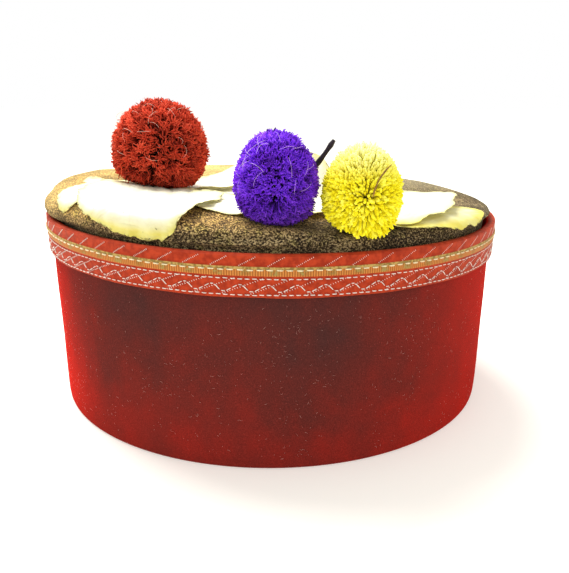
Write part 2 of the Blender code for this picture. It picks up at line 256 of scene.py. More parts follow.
def tweed():
    """Brown and olive salt-and-pepper wool, painted lighter on top, on the left side and towards the back
    as painted highlight.
    """
    finish = Finish("tweed")
    grain = finish.noise(1850, 1.0, 0.6)
    slant = finish.noise(1050, 1.0, 0.5, vector=finish.where((1, 1.5, 1.9), (0.3, 0.5, 0.6)))
    tone = finish.noise(70, 3.0, 0.55)
    level = grain * 0.62 + slant * 0.38 + (tone - 0.5) * 0.22
    cloth = finish.stops(
        level,
        (0.38, (0.008, 0.006, 0.005)),
        (0.46, (0.046, 0.031, 0.018)),
        (0.53, (0.116, 0.080, 0.038)),
        (0.61, (0.400, 0.300, 0.150)),
    )
    olive = finish.noise(240, 2.0, 0.6).ramp(0.50, 0.68)
    cloth = finish.mix(olive * 0.5, cloth, finish.mix(1.0, cloth, (0.85, 1.0, 0.55), "MULTIPLY"))
    streaks = finish.noise(1.0, 3.0, 0.6, vector=finish.where((16, 34, 360))).ramp(0.56, 0.42)
    cloth = finish.mix(streaks * 0.45, cloth, finish.mix(1.0, cloth, (0.42, 0.36, 0.32), "MULTIPLY"))
    height = finish.add("SeparateXYZ", None, {0: finish.where()}, output="Z")
    side = finish.add("SeparateXYZ", None, {0: finish.where()}, output="X")
    left = (side * -1.0).ramp(0.035, 0.088)
    rear = finish.add("SeparateXYZ", None, {0: finish.where()}, output="Y").ramp(0.0, 0.06)
    # Painted highlight: the top and the left side are painted lighter, where the light falls on them.
    painted_light_share = (height.ramp(0.0830, 0.0885) + left * height.ramp(0.0775, 0.0840) * 0.55).clamp()
    painted_highlight_tint = finish.mix(painted_light_share, (1, 1, 1), (2.3, 1.95, 1.20))
    # Painted highlight: the back, and a little of the lit left side, are painted towards a flat pale tan.
    cloth = finish.mix((painted_light_share * left * 0.14 + rear * 0.30).clamp(), cloth, (0.400, 0.350, 0.210))
    colour = finish.mix(1.0, cloth, painted_highlight_tint, "MULTIPLY")
    normal = finish.bump(grain * 0.6 + slant * 0.4, 0.8, 0.0005)
    return finish.done(
        finish.shade(
            Base_Color=colour,
            Roughness=0.95,
            Specular_IOR_Level=0.03,
            Sheen_Weight=0.08,
            Sheen_Roughness=0.6,
            Sheen_Tint=(0.9, 0.8, 0.55, 1),
            Normal=normal,
        )
    )


def velvet():
    """Dark red velvet. Its pile is crushed brown in patches, and it is browner towards the front and the
    top, partly crushed pile and partly painted shade where the sheen falls off and under the ribbon.
    """
    finish = Finish("velvet")
    place = finish.where()
    side = finish.add("SeparateXYZ", None, {0: place}, output="X")
    front = finish.add("SeparateXYZ", None, {0: place}, output="Y") * -1.0
    front = (front - side * 0.20) / BASE_RADIUS
    height = finish.add("SeparateXYZ", None, {0: place}, output="Z")
    crushed = finish.noise(17, 4.0, 0.60, distortion=0.4)
    patches = finish.noise(60, 2.0, 0.6, vector=finish.where((1, 1, 0.7)))
    pile = finish.noise(2300, 2.0, 0.8)
    # Partly crushed pile and partly painted shade: browner towards the front and the top.
    crush_and_shade = front.ramp(0.35, 1.12) * (0.48 + height.ramp(0.0, 0.062) * 0.54)
    level = (crush_and_shade * 0.72 + (crushed - 0.5) * 0.75 + (patches - 0.5) * 0.55 + 0.10).clamp()
    colour = finish.stops(
        level,
        (0.02, (0.390, 0.019, 0.012)),
        (0.35, (0.235, 0.020, 0.014)),
        (0.62, (0.130, 0.022, 0.017)),
        (0.90, (0.074, 0.024, 0.021)),
    )
    grainy = finish.mix(pile.ramp(0.35, 0.62), finish.mix(0.35, colour, (0.015, 0.006, 0.006)), colour)
    sparkle = finish.mix(pile.ramp(0.62, 0.80) * 0.5, grainy, (0.420, 0.070, 0.055))
    normal = finish.bump(pile * 0.5 + level * 0.6, 0.6, 0.0006)
    return finish.done(
        finish.shade(
            Base_Color=sparkle,
            Roughness=0.8,
            Specular_IOR_Level=0.01,
            Sheen_Weight=0.8,
            Sheen_Roughness=0.28,
            Sheen_Tint=(1.0, 0.02, 0.01, 1),
            Normal=normal,
        )
    )


def woven_ribbon():
    """Red ribbed ribbon with a gold and olive braid. Reads the ribbon's own UV map."""
    finish = Finish("woven ribbon")
    place = finish.add("UVMap", {"uv_map": "weave"})
    along = finish.add("SeparateXYZ", None, {0: place}, output="X")
    down = finish.add("SeparateXYZ", None, {0: place}, output="Y")
    mottle = finish.noise(420, 2.0, 0.6)
    ribs = (along * (math.tau * 22)).math("SINE")
    rows = (down * (math.tau * 34)).math("SINE")
    red = finish.mix(mottle.ramp(0.3, 0.7), (0.300, 0.026, 0.008), (0.470, 0.048, 0.014))
    fine = (along * (math.tau * 11)).math("SINE") * 0.5 + 0.5
    gold = finish.mix(fine, (0.300, 0.090, 0.018), (0.620, 0.240, 0.055))
    cell = along.fraction()
    speck = finish.noise(900, 1.0, 0.5)
    leaf = cell.band(0.12, 0.42, 0.10) * down.band(0.330, 0.452, 0.020)
    leaf = leaf * (0.25 + speck.ramp(0.35, 0.6) * 0.55)
    olive = finish.mix(speck.ramp(0.42, 0.58), (0.120, 0.105, 0.022), (0.300, 0.250, 0.075))
    edge = finish.mix(speck.ramp(0.4, 0.6), (0.260, 0.170, 0.045), (0.500, 0.330, 0.100))
    gold = finish.mix(down.band(0.250, 0.318, 0.008), gold, edge)
    gold = finish.mix(leaf, gold, olive)
    braid = down.band(*BRAID_SHARES, 0.006)
    colour = finish.mix(braid, red, gold)
    normal = finish.bump(rows * 0.25 + ribs * 0.3 + mottle + fine * braid * 0.8, 0.5, 0.00018)
    return finish.done(
        finish.shade(
            Base_Color=colour,
            Roughness=0.62,
            Specular_IOR_Level=0.08,
            Sheen_Weight=0.05,
            Sheen_Roughness=0.4,
            Sheen_Tint=(1.0, 0.45, 0.25, 1),
            Normal=normal,
        )
    )


def thread(name, colour, roughness=0.6):
    finish = Finish(name)
    twist = finish.noise(2600, 1.0, 0.5)
    shade = tuple(0.72 * part for part in colour)
    return finish.done(
        finish.shade(
            Base_Color=finish.mix(twist.ramp(0.35, 0.6), shade, colour),
            Roughness=roughness,
            Specular_IOR_Level=0.1,
            Sheen_Weight=0.1,
            Normal=finish.bump(twist, 0.4, 0.0001),
        )
    )


def yarn(name, dark, middle, bright, sheen, root_shade_share, tinted=None):
    """Cut wool. Reads each strand's tone, and how far along it a point lies, from its attribute.
    The root share is how much of the dark colour is left deep inside, as painted shade. tinted, if
    given, is painted light: a colour that the wool turns to, with the heights where that starts and ends."""
    finish = Finish(name)
    tone = finish.attribute("strand", "Red")
    along = finish.attribute("strand", "Green")
    fibre = finish.noise(1400, 2.0, 0.6)
    level = (tone * 0.55 + fibre * 0.45).clamp()
    colour = finish.stops(level, (0.25, dark), (0.50, middle), (0.78, bright))
    if tinted:
        painted_light_colour, start, end = tinted
        height = finish.add("SeparateXYZ", None, {0: finish.where()}, output="Z")
        # Painted light: the wool is painted towards the tint between two heights.
        colour = finish.mix(height.ramp(start, end), colour, painted_light_colour)
    # Painted shade: each strand is painted darker towards its root, deep inside the ball.
    root = finish.mix(along.ramp(0.10, 0.72), tuple(root_shade_share * part for part in dark), colour)
    return finish.done(
        finish.shade(
            Base_Color=root,
            Roughness=0.9,
            Specular_IOR_Level=0.02,
            Sheen_Weight=0.12,
            Sheen_Roughness=0.5,
            Sheen_Tint=(*sheen, 1),
            Normal=finish.bump(fibre, 0.6, 0.0002),
        )
    )


def papery():
    """Thin cream petal with fine lines along it, yellower towards its edge, and yellower and darker where
    it hangs, partly its own yellow and partly painted shade.
    """
    finish = Finish("papery petal")
    edge = finish.attribute("petal", "Red")
    across = finish.attribute("petal", "Green")
    along = finish.attribute("petal", "Blue")
    cloud = finish.noise(120, 3.0, 0.6)
    stretched = finish.add("CombineXYZ", None, {0: across * 42.0, 1: along * 5.0})
    lines = finish.noise(1, 3.0, 0.6, vector=stretched)
    height = finish.add("SeparateXYZ", None, {0: finish.where()}, output="Z")
    # Partly the petal's own yellow and partly painted shade: yellower and darker low down, where it hangs.
    hanging_yellow_and_shade = 1.0 - height.ramp(0.0815, 0.0895)
    cream = finish.mix(cloud.ramp(0.35, 0.7), (0.880, 0.850, 0.640), (0.930, 0.915, 0.760))
    yellow = finish.mix(cloud.ramp(0.35, 0.65), (0.800, 0.700, 0.120), (0.880, 0.820, 0.290))
    share = (edge.ramp(0.45, 1.0) * (0.25 + cloud * 0.7) + hanging_yellow_and_shade * 0.85).clamp()
    tinted = finish.mix(share, cream, yellow)
    veined = finish.mix(lines.ramp(0.55, 0.75) * 0.30, tinted, (0.600, 0.540, 0.280))
    spots = finish.noise(330, 1.0, 0.5).ramp(0.73, 0.79)
    torn = edge.ramp(0.88, 0.98) * finish.noise(420, 2.0, 0.6).ramp(0.49, 0.57)
    colour = finish.mix((spots * 0.5 + torn * 0.75).clamp(), veined, (0.200, 0.170, 0.050))
    normal = finish.bump(lines * 0.6 + cloud * 0.6, 0.5, 0.0003)
    face = finish.shade(Base_Color=colour, Roughness=0.55, Specular_IOR_Level=0.3, Normal=normal)
    glow = finish.add("BsdfTranslucent", None, {"Color": colour, "Normal": normal})
    return finish.done(finish.add("MixShader", None, {0: 0.25, 1: face, 2: glow}))


def plain(name, colour, roughness):
    finish = Finish(name)
    cloud = finish.noise(700, 2.0, 0.6)
    dark = tuple(0.6 * part for part in colour)
    return finish.done(
        finish.shade(
            Base_Color=finish.mix(cloud.ramp(0.3, 0.7), dark, colour),
            Roughness=roughness,
            Specular_IOR_Level=0.08,
            Normal=finish.bump(cloud, 0.3, 0.0002),
        )
    )


def dress(piece, material, slot, *nodes):
    """Gives a finished piece its material, sets it on the root body and hides the CAD nodes that it stands
    for.
    """
    piece.data.materials.clear()
    piece.data.materials.append(material)
    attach(piece, "root")
    if nodes:
        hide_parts(*nodes)
    return piece


def new_piece(name, mesh):
    piece = bpy.data.objects.new(name, mesh)
    bpy.context.scene.collection.objects.link(piece)
    return piece


def apply_all(piece):
    deselect()
    piece.select_set(True)
    bpy.context.view_layer.objects.active = piece
    for modifier in list(piece.modifiers):
        bpy.ops.object.modifier_apply(modifier=modifier.name)


def copy_of(node, name):
    """A free copy of a CAD node, merged and in quads, ready to be shaped."""
    piece = new_piece(name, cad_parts[node].data.copy())
    deselect()
    piece.select_set(True)
    bpy.context.view_layer.objects.active = piece
    bpy.ops.object.mode_set(mode="EDIT")
    bpy.ops.mesh.select_all(action="SELECT")
    bpy.ops.mesh.remove_doubles(threshold=0.00001)
    bpy.ops.mesh.tris_convert_to_quads(face_threshold=0.7, shape_threshold=0.7)
    bpy.ops.object.mode_set(mode="OBJECT")
    return piece


def subdivide(piece, levels):
    step = piece.modifiers.new("finer", "SUBSURF")
    step.levels = step.render_levels = levels
    apply_all(piece)


def shade_smooth(piece, angle=50):
    deselect()
    piece.select_set(True)
    bpy.context.view_layer.objects.active = piece
    bpy.ops.object.shade_smooth_by_angle(angle=math.radians(angle))


def tubes(name, paths, widths, sides=4, attribute=None, tones=None):
    """Many closed strands in one mesh. paths holds each strand's points and widths its half widths
    at them. attribute names a colour attribute that gets each strand's tone and the share along."""
    paths = np.asarray(paths, float)
    widths = np.asarray(widths, float)
    count, points = paths.shape[:2]
    tangents = np.gradient(paths, axis=1)
    tangents /= np.linalg.norm(tangents, axis=2, keepdims=True) + 1e-12
    side = np.cross(tangents, np.array([0.31, 0.52, 0.79]))
    side /= np.linalg.norm(side, axis=2, keepdims=True) + 1e-12
    other = np.cross(tangents, side)
    angles = np.arange(sides) * math.tau / sides
    ring = side[:, :, None] * np.cos(angles)[:, None] + other[:, :, None] * np.sin(angles)[:, None]
    vertices = paths[:, :, None] + ring * widths[:, :, None, None]
    base = np.arange(count)[:, None, None] * points * sides
    rows = np.arange(points - 1)[None, :, None] * sides
    here, there = np.arange(sides), (np.arange(sides) + 1) % sides
    quads = np.stack(
        [base + rows + here, base + rows + there, base + rows + sides + there, base + rows + sides + here],
        axis=-1,
    ).reshape(-1, 4)
    start = (base[:, 0] + here[::-1]).reshape(-1, sides)
    end = (base[:, 0] + (points - 1) * sides + here).reshape(-1, sides)
    faces = [*quads.tolist(), *start.tolist(), *end.tolist()]
    mesh = bpy.data.meshes.new(name)
    mesh.from_pydata(vertices.reshape(-1, 3), [], faces)
    mesh.shade_smooth()
    if attribute:
        tone = np.repeat(tones, points * sides)
        share = np.tile(np.repeat(np.linspace(0, 1, points), sides), count)
        colours = np.stack([tone, share, share * 0, share * 0 + 1], 1)
        layer = mesh.color_attributes.new(attribute, "FLOAT_COLOR", "POINT")
        layer.data.foreach_set("color", colours.ravel())
    return new_piece(name, mesh)


def wool_crown():
    """The tweed crown: the part's own form, smoothed and finely rumpled. It bulges over the rim at
    the sides."""
    piece = copy_of("crown", "crown_wool")
    subdivide(piece, 2)
    normals = [vertex.normal.copy() for vertex in piece.data.vertices]
    for vertex, normal in zip(piece.data.vertices, normals):
        spot = vertex.co.copy()
        if spot.z < RIM_HEIGHT - 0.004:
            continue
        bearing = math.degrees(math.atan2(spot.x, -spot.y))
        radius = math.hypot(spot.x, spot.y)
        rumple = noise.fractal(spot * 42, 1.0, 2.0, 3) * RUMPLE
        ripple = 0.0
        if radius > 0.06:
            strength = math.exp(-(((bearing + 14) / 30) ** 2)) * smooth((radius - 0.066) / 0.012)
            ripple = RIPPLE * strength * math.sin(spot.z * 1900 + radius * 520 + 0.05 * bearing)
        outward = Vector((spot.x, spot.y, 0)).normalized()
        side = abs(math.sin(math.radians(bearing)))
        over = smooth((spot.z - RIM_HEIGHT - 0.0013) / 0.0012) * smooth((0.0885 - spot.z) / 0.005)
        bulge = OVERHANG * smooth((side - 0.72) / 0.2) * over * smooth((radius - 0.084) / 0.004)
        vertex.co = spot + normal * (rumple + ripple) + outward * bulge
    shade_smooth(piece)
    return dress(piece, tweed(), "tweed", "crown")


def velvet_wall():
    """The velvet round the stiff band."""
    piece = copy_of("velvet_band", "band_velvet")
    subdivide(piece, 2)
    for vertex in piece.data.vertices:
        outward = Vector((vertex.co.x, vertex.co.y, 0)).normalized()
        middle = smooth(vertex.co.z / 0.006) * smooth((RIM_HEIGHT - vertex.co.z) / 0.01)
        vertex.co += outward * noise.fractal(vertex.co * 24, 1.0, 2.0, 3) * RUMPLE * middle
    shade_smooth(piece)
    return dress(piece, velvet(), "velvet", "velvet_band")


def ribbon_point(around, down, lift=0.0):
    """A point on the ribbon's face: around in repeats from the front, down as a share of its width,
    lift over the cloth. The braid stands a little proud."""
    bearing = 360 * around / REPEATS
    share = 1 - down * RIBBON_WIDTH / RIM_HEIGHT
    low, high = BRAID_SHARES
    proud = BRAID_RAISE * smooth((down - low + 0.02) / 0.03) * smooth((high + 0.02 - down) / 0.03)
    radius = band_radius(share) + RIBBON_STAND + proud + lift
    x, y = plan(radius, bearing)
    return Vector((x, y, RIM_HEIGHT * share + rim_lean(x, share)))


def ribbon_sheet():
    """The ribbon: folded over the band's rim at the top, sewn flat below."""
    columns = REPEATS * RIBBON_STEPS
    downs = [0, 0.012, 0.03, 0.08, 0.14, 0.20, 0.235, 0.25, 0.262, 0.28, 0.33, 0.38, 0.43, 0.46]
    downs += [0.472, 0.485, 0.50, 0.56, 0.64, 0.72, 0.80, 0.88, 0.94, 0.975, 0.99, 1.0]
    fold = [(0.0030, -0.0002), (0.0022, 0.00035), (0.0012, 0.00045), (0.0004, 0.0003)]
    sheet = bmesh.new()
    weave = sheet.loops.layers.uv.new("weave")
    rows = []
    for column in range(columns):
        around = column * REPEATS / columns
        sag = 0.006 * math.sin(around * 1.7) + 0.004 * math.sin(around * 0.61 + 1)
        line = []
        for inward, rise in fold:
            spot = ribbon_point(around, 0, -inward)
            spot.z += rise
            line.append(sheet.verts.new(spot))
        for down in downs:
            lift = -0.0002 if down in (0, 1.0) else 0.0
            line.append(sheet.verts.new(ribbon_point(around, down + sag * down, lift)))
        rows.append(line)
    shares = [-0.15, -0.11, -0.06, -0.02] + downs
    for column in range(columns):
        left, right = rows[column], rows[(column + 1) % columns]
        for k in range(len(shares) - 1):
            face = sheet.faces.new((left[k], left[k + 1], right[k + 1], right[k]))
            spans = (column * REPEATS / columns, (column + 1) * REPEATS / columns)
            corners = ((0, k), (0, k + 1), (1, k + 1), (1, k))
            for loop, (side, row) in zip(face.loops, corners):
                loop[weave].uv = (spans[side], shares[row])
    mesh = bpy.data.meshes.new("ribbon_cloth")
    sheet.to_mesh(mesh)
    sheet.free()
    piece = new_piece("ribbon_cloth", mesh)
    wall = piece.modifiers.new("cloth", "SOLIDIFY")
    wall.thickness = RIBBON_SHEET
    wall.offset = -1
    apply_all(piece)
    shade_smooth(piece)
    return dress(piece, woven_ribbon(), "ribbon", "ribbon")


def stitches(name, runs, width, material):
    """Short threads on the ribbon. A run is its two ends, each as repeats round and share down."""
    paths, widths = [], []
    for (start, top), (end, bottom) in runs:
        points = []
        for share in (0, 0.12, 0.5, 0.88, 1):
            around = start + (end - start) * share
            down = top + (bottom - top) * share
            points.append(ribbon_point(around, down, width * (0.1 if share in (0, 1) else 0.75)))
        paths.append(points)
        widths.append([width * k for k in (0.35, 0.9, 1, 0.9, 0.35)])
    piece = tubes(name, paths, widths, 4)
    return dress(piece, material, "ribbon")


def ribbon_threads():
    """The ribbon's pattern in thread: dashed lines, dotted diagonals and a zigzag."""
    chance = random.Random(4)
    white = thread("white thread", (0.86, 0.76, 0.68))
    cream = thread("cream thread", (0.88, 0.76, 0.48))
    per_metre = REPEATS / (math.tau * (BASE_RADIUS + RIM_SPREAD + RIBBON_STAND))

    def dashes(count, length, down):
        for k in range(count):
            start = REPEATS * k / count + chance.uniform(-0.01, 0.01)
            slip = chance.uniform(-0.006, 0.006)
            yield (start, down + slip), (start + length * per_metre, down + slip + 0.004)

    stitches("thread_cream", list(dashes(192, 0.0021, 0.327)), CREAM_THREAD, cream)
    lines = list(dashes(258, 0.0016, 0.540)) + list(dashes(258, 0.0016, 0.925))
    stitches("thread_lines", lines, THREAD, white)

    dots = []
    for repeat in range(REPEATS):
        for k in range(10):
            share = (k + 0.5) / 10
            around = repeat + 0.62 * share + chance.uniform(-0.006, 0.006)
            down = 0.245 - 0.230 * share
            dots.append(((around, down - 0.010), (around + 0.026, down + 0.014)))
        for k in range(18):
            share = (k + 0.5) / 18
            around = repeat + 0.3 + 1.60 * share + chance.uniform(-0.006, 0.006)
            down = 0.935 - 0.415 * share
            dots.append(((around, down - 0.012), (around + 0.030, down + 0.014)))
    stitches("thread_dots", dots, THREAD * 0.55, white)

    legs = []
    for repeat in range(REPEATS):
        corners = [(0.0, 0.685), (0.15, 0.685), (0.38, 0.845), (0.56, 0.845), (1.0, 0.685)]
        for (start, top), (end, bottom) in zip(corners, corners[1:]):
            parts = 2 if end - start > 0.3 else 1
            for k in range(parts):
                first, last = (k + 0.10) / parts, (k + 0.84) / parts
                legs.append(
                    (
                        (repeat + start + (end - start) * first, top + (bottom - top) * first),
                        (repeat + start + (end - start) * last, top + (bottom - top) * last),
                    )
                )
    stitches("thread_zigzag", legs, THREAD * 0.95, white)


def spread_directions(count, chance):
    """Directions spread evenly over a ball, with a little disorder."""
    k = np.arange(count) + 0.5
    height = 1 - 2 * k / count
    angle = math.pi * (1 + 5**0.5) * k
    flat = np.sqrt(1 - height**2)
    spread = np.stack([flat * np.cos(angle), flat * np.sin(angle), height], 1)
    spread += chance.normal(0, 0.5 / math.sqrt(count), spread.shape)
    return spread / np.linalg.norm(spread, axis=1, keepdims=True)


# Each pompom's yarn. half height is that of the ball before it is pressed flat. Its strands lean
# towards the middles of their tufts by the share gather, and their tips turn aside by the share
# curl. partings are the directions that strands lean away from, with the angle that it reaches and
# the strength.
POMPOMS = (
    # node, slot, half height, strands, half width, sides, tufts, gather, seed, curl, partings
    ("pompom_red", "red_wool", 0.0219, 8800, 0.00034, 3, 260, 0.62, 3, 0.055,
     (((0.18, -0.88, 0.40), 0.16, 0.9), ((-0.30, -0.90, 0.32), 0.10, 0.8),
      ((-0.55, -0.80, 0.05), 0.13, 0.7), ((-0.40, -0.85, -0.20), 0.15, 0.9),
      ((0.30, -0.90, -0.15), 0.14, 0.9), ((-0.10, -0.90, -0.40), 0.22, 0.7),
      ((0.10, -0.95, 0.15), 0.12, 0.5))),
    ("pompom_purple", "purple_wool", 0.0184, 8800, 0.00029, 3, 420, 0.45, 5, 0.05,
     (((0.05, -0.95, -0.32), 0.25, 0.9), ((0.30, -0.90, 0.25), 0.12, 0.6),
      ((-0.35, -0.90, -0.10), 0.16, 0.5))),
    ("pompom_yellow", "yellow_wool", 0.0181, 3000, 0.00052, 5, 1200, 0.25, 8, 0.03,
     (((0.22, -0.95, 0.02), 1.00, 0.22),)),
)


def pompom(
    node, slot, half_height, strands, half_width, sides, tufts, gather, seed, curl, partings, material
):
    """A ball of cut yarn. Its strands start deep inside and reach the part's own surface."""
    chance = np.random.default_rng(seed)
    low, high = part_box(node)
    middle = np.array([(low[0] + high[0]) / 2, (low[1] + high[1]) / 2, high[2] - half_height])
    half = np.array([(high[0] - low[0]) / 2, (high[1] - low[1]) / 2, half_height])
    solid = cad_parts[node].data
    tree = BVHTree.FromPolygons([v.co for v in solid.vertices], [p.vertices for p in solid.polygons])
    ways = spread_directions(strands, chance)
    centres = spread_directions(tufts, chance)
    nearest = (ways @ centres.T).argmax(1)
    apart = centres[nearest] - ways
    tips = ways + apart * gather + chance.normal(0, 0.035, ways.shape)
    for axis, wide, strong in partings:
        axis = np.array(axis) / np.linalg.norm(axis)
        angle = np.arccos(np.clip(ways @ axis, -1, 1))
        away = ways - axis * (ways @ axis)[:, None]
        away /= np.linalg.norm(away, axis=1, keepdims=True) + 0.02
        push = strong * wide * np.exp(-((angle / wide) ** 2)) * np.minimum(angle / (0.4 * wide), 1)
        tips += away * push[:, None]
    tips /= np.linalg.norm(tips, axis=1, keepdims=True)
    tuft_length = chance.normal(0, 0.016, tufts)
    tuft_tone = chance.normal(0, 0.16, tufts)
    spread = np.linalg.norm(apart, axis=1) * math.sqrt(tufts)
    paths, tones = [], []
    for way, tip, tuft, wide in zip(ways, tips, nearest, spread):
        length = 1 / np.linalg.norm(tip / half)
        length *= 0.985 + tuft_length[tuft] - 0.022 * wide + 0.03 * chance.random()
        length *= 1 + 0.03 * noise.noise(Vector(tip) * 3 + Vector((seed, 5, 0)))
        far = tree.ray_cast(Vector(middle), Vector(tip))[3]
        if far and tip[2] < -0.15:
            length = min(length, far + 0.0006)
        root = way * length * 0.50
        bend = (way * 0.5 + tip * 0.5) * length * 0.78
        wisp = np.cross(tip, chance.normal(0, 1, 3)) * curl * length
        end = middle + tip * length
        paths.append([middle + root, middle + bend, end - tip * length * 0.07 + wisp * 0.25, end + wisp])
        tones.append(0.5 + tuft_tone[tuft] + 0.35 * noise.noise(Vector(way) * 4 + Vector((0, seed, 0))))
    tones = np.array(tones) + chance.normal(0, 0.12, strands)
    thick = half_width * (1 + chance.normal(0, 0.12, (strands, 1)))
    widths = thick * np.array([0.6, 0.9, 1.0, 0.5])
    piece = tubes(node + "_yarn", paths, widths, sides, "strand", np.clip(tones, 0, 1))
    return dress(piece, material, slot, node)


def one_skin(mesh):
    """Leaves the under side of a petal's thicker solid, turned to face up: the faces that a walk
    reaches without going round the narrow rim."""
    start = min(mesh.faces, key=lambda face: face.normal.z)
    kept, waiting = {start}, [start]
    while waiting:
        face = waiting.pop()
        for edge in face.edges:
            for other in edge.link_faces:
                narrow = min(side.calc_length() for side in other.edges) < PETAL_RIM
                limit = math.radians(45 if narrow else 75)
                if other not in kept and face.normal.angle(other.normal) < limit:
                    kept.add(other)
                    waiting.append(other)
    lost = [face for face in mesh.faces if face not in kept]
    bmesh.ops.delete(mesh, geom=lost, context="FACES")
    bmesh.ops.reverse_faces(mesh, faces=mesh.faces)
    bmesh.ops.join_triangles(
        mesh, faces=mesh.faces, angle_face_threshold=0.7, angle_shape_threshold=0.7
    )


def petal_sheet(node, seed, levels, beneath):
    """A thin crumpled petal in the place of the part's thicker one: its under side, made finer. It
    is kept clear of the surface beneath."""
    piece = new_piece(node + "_paper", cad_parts[node].data.copy())
    mesh = bmesh.new()
    mesh.from_mesh(piece.data)
    bmesh.ops.remove_doubles(mesh, verts=mesh.verts, dist=0.00001)
    one_skin(mesh)
    mesh.to_mesh(piece.data)
    mesh.free()
    subdivide(piece, levels)
    mesh = bmesh.new()
    mesh.from_mesh(piece.data)
    rim = [vertex for vertex in mesh.verts if vertex.is_boundary]
    tree = kdtree.KDTree(len(rim))
    for vertex in rim:
        tree.insert(vertex.co, vertex.index)
    tree.balance()
    spots = np.array([vertex.co for vertex in mesh.verts])
    middle = Vector(spots.mean(0))
    length_way = Vector(np.linalg.eigh(np.cov((spots - spots.mean(0)).T))[1][:, 2])
    shift = Vector((seed * 1.7, seed * 0.9, 0))
    mesh.normal_update()
    facts, moves = [], []
    for vertex in mesh.verts:
        spot, up = vertex.co, vertex.normal
        inside = tree.find(spot)[2]
        away = spot - middle
        along = away.dot(length_way)
        across = away.dot(length_way.cross(up).normalized())
        facts.append((math.exp(-inside / 0.006), 0.5 + across / 0.06, 0.5 + along / 0.06, 1))
        bend = noise.noise(Vector((along * 40, seed, 0))) * 0.4
        fine = noise.noise(Vector((across * 420 + bend * 3, along * 30, seed)))
        pleat = noise.noise(Vector((across * 150 + bend, along * 18, seed + 7)))
        crumple = noise.fractal(spot * 95 + shift, 1.0, 2.0, 3)
        curl = math.exp(-inside / 0.0022) * (0.35 + noise.noise(spot * 75 + shift * 2)) * 0.0016
        lift = abs(crumple) * 0.00050 + abs(pleat) * 0.00060 + abs(fine) * 0.00022 + max(curl, 0)
        ragged = noise.noise_vector(spot * 620 + shift) * 0.0005
        ragged += noise.noise_vector(spot * 230 + shift) * 0.0009
        ragged += noise.noise_vector(spot * 80 + shift) * 0.0012
        sideways = ragged - up * ragged.dot(up)
        moves.append(up * lift + sideways * math.exp(-inside / 0.0035))
    for vertex, move in zip(mesh.verts, moves):
        lean = smooth((FLAP_TOP - vertex.co.z) / FLAP_DROP)
        vertex.co += move + Vector((FLAP_LEAN * lean, 0, 0))
        near, up = beneath.find_nearest(vertex.co)[:2]
        if (vertex.co - near).dot(up) < PETAL_CLEARANCE:
            vertex.co = near + up * PETAL_CLEARANCE
    mesh.to_mesh(piece.data)
    mesh.free()
    layer = piece.data.color_attributes.new("petal", "FLOAT_COLOR", "POINT")
    layer.data.foreach_set("color", np.array(facts).ravel())
    wall = piece.modifiers.new("paper", "SOLIDIFY")
    wall.thickness = PETAL_SHEET
    wall.offset = 0
    apply_all(piece)
    shade_smooth(piece, 70)
    return piece


def petals(crown):
    material = papery()
    beneath = surface_tree(crown)
    names = [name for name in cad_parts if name.startswith("petal_")]
    for seed, name in enumerate(sorted(names)):
        levels = 4 if name == "petal_front" else 3
        dress(petal_sheet(name, seed + 1, levels, beneath), material, "petal", name)


def surface_tree(*pieces):
    """The surfaces of several pieces, to set small things on."""
    vertices, faces = [], []
    for piece in pieces:
        start = len(vertices)
        vertices += [vertex.co.copy() for vertex in piece.data.vertices]
        faces += [[start + k for k in polygon.vertices] for polygon in piece.data.polygons]
    return BVHTree.FromPolygons(vertices, faces)


def lint(name, tree, starts, ways, count, length, half_width, material, slot, seed):
    """Fine curved fibres lying on a surface. starts gives a point outside it for each try, and ways
    the direction from there to the surface."""
    chance = random.Random(seed)
    paths, widths = [], []
    while len(paths) < count:
        start = starts(chance)
        way = ways(start)
        hit, normal = tree.ray_cast(start, way)[:2]
        if hit is None:
            continue
        heading = normal.orthogonal().normalized()
        turn = math.tau * chance.random()
        heading = heading * math.cos(turn) + normal.cross(heading) * math.sin(turn)
        bow = normal.cross(heading) * chance.uniform(-1, 1)
        reach = length * chance.choice((0.4, 0.4, 0.5, 0.5, 0.6, 0.8, 1.0, 1.5))
        lift = half_width + reach * chance.uniform(0.0, 0.16)
        points = []
        for share in (0, 0.25, 0.5, 0.75, 1):
            arch = 4 * share * (1 - share)
            spot = hit + heading * reach * (share - 0.5) + bow * reach * 0.35 * arch
            near, up = tree.find_nearest(spot)[:2]
            points.append(near + up * (half_width * 0.8 + lift * arch))
        paths.append(points)
        widths.append([half_width * k for k in (0.6, 1, 1, 1, 0.5)])
    piece = tubes(name, paths, widths, 3)
    return dress(piece, material, slot)


def fibres(band, crown):
    """Lint on the velvet and loose wool on the crown."""
    pale = thread("lint", (0.68, 0.36, 0.30), 0.8)

    def round_band(chance):
        while True:
            x, y = plan(0.2, chance.uniform(0, 360))
            spot = Vector((x, y, chance.uniform(0.003, 0.062)))
            if noise.noise(spot * 42) > chance.uniform(-0.35, 0.6):
                return spot

    def to_axis(start):
        return Vector((-start.x, -start.y, 0)).normalized()

    lint(
        "lint_on_velvet", surface_tree(band), round_band, to_axis, count=1900, length=0.0008,
        half_width=0.000028, material=pale, slot="velvet", seed=6,
    )

    def over_crown(chance):
        radius = 0.097 * math.sqrt(chance.uniform(0.02, 1))
        x, y = plan(radius, chance.uniform(0, 360))
        return Vector((x, y, 0.2))

    def down(_):
        return Vector((0, 0, -1))

    straw = thread("loose wool", (0.50, 0.42, 0.25), 0.9)
    lint(
        "lint_on_crown", surface_tree(crown), over_crown, down, count=1100, length=0.0020,
        half_width=0.00004, material=straw, slot="tweed", seed=7,
    )


def strand(start, bend, end, points=9):
    """Points on a smooth curve from start to end, drawn towards bend."""
    start, bend, end = Vector(start), Vector(bend), Vector(end)
    shares = [k / (points - 1) for k in range(points)]
    return [(1 - s) ** 2 * start + 2 * s * (1 - s) * bend + s * s * end for s in shares]


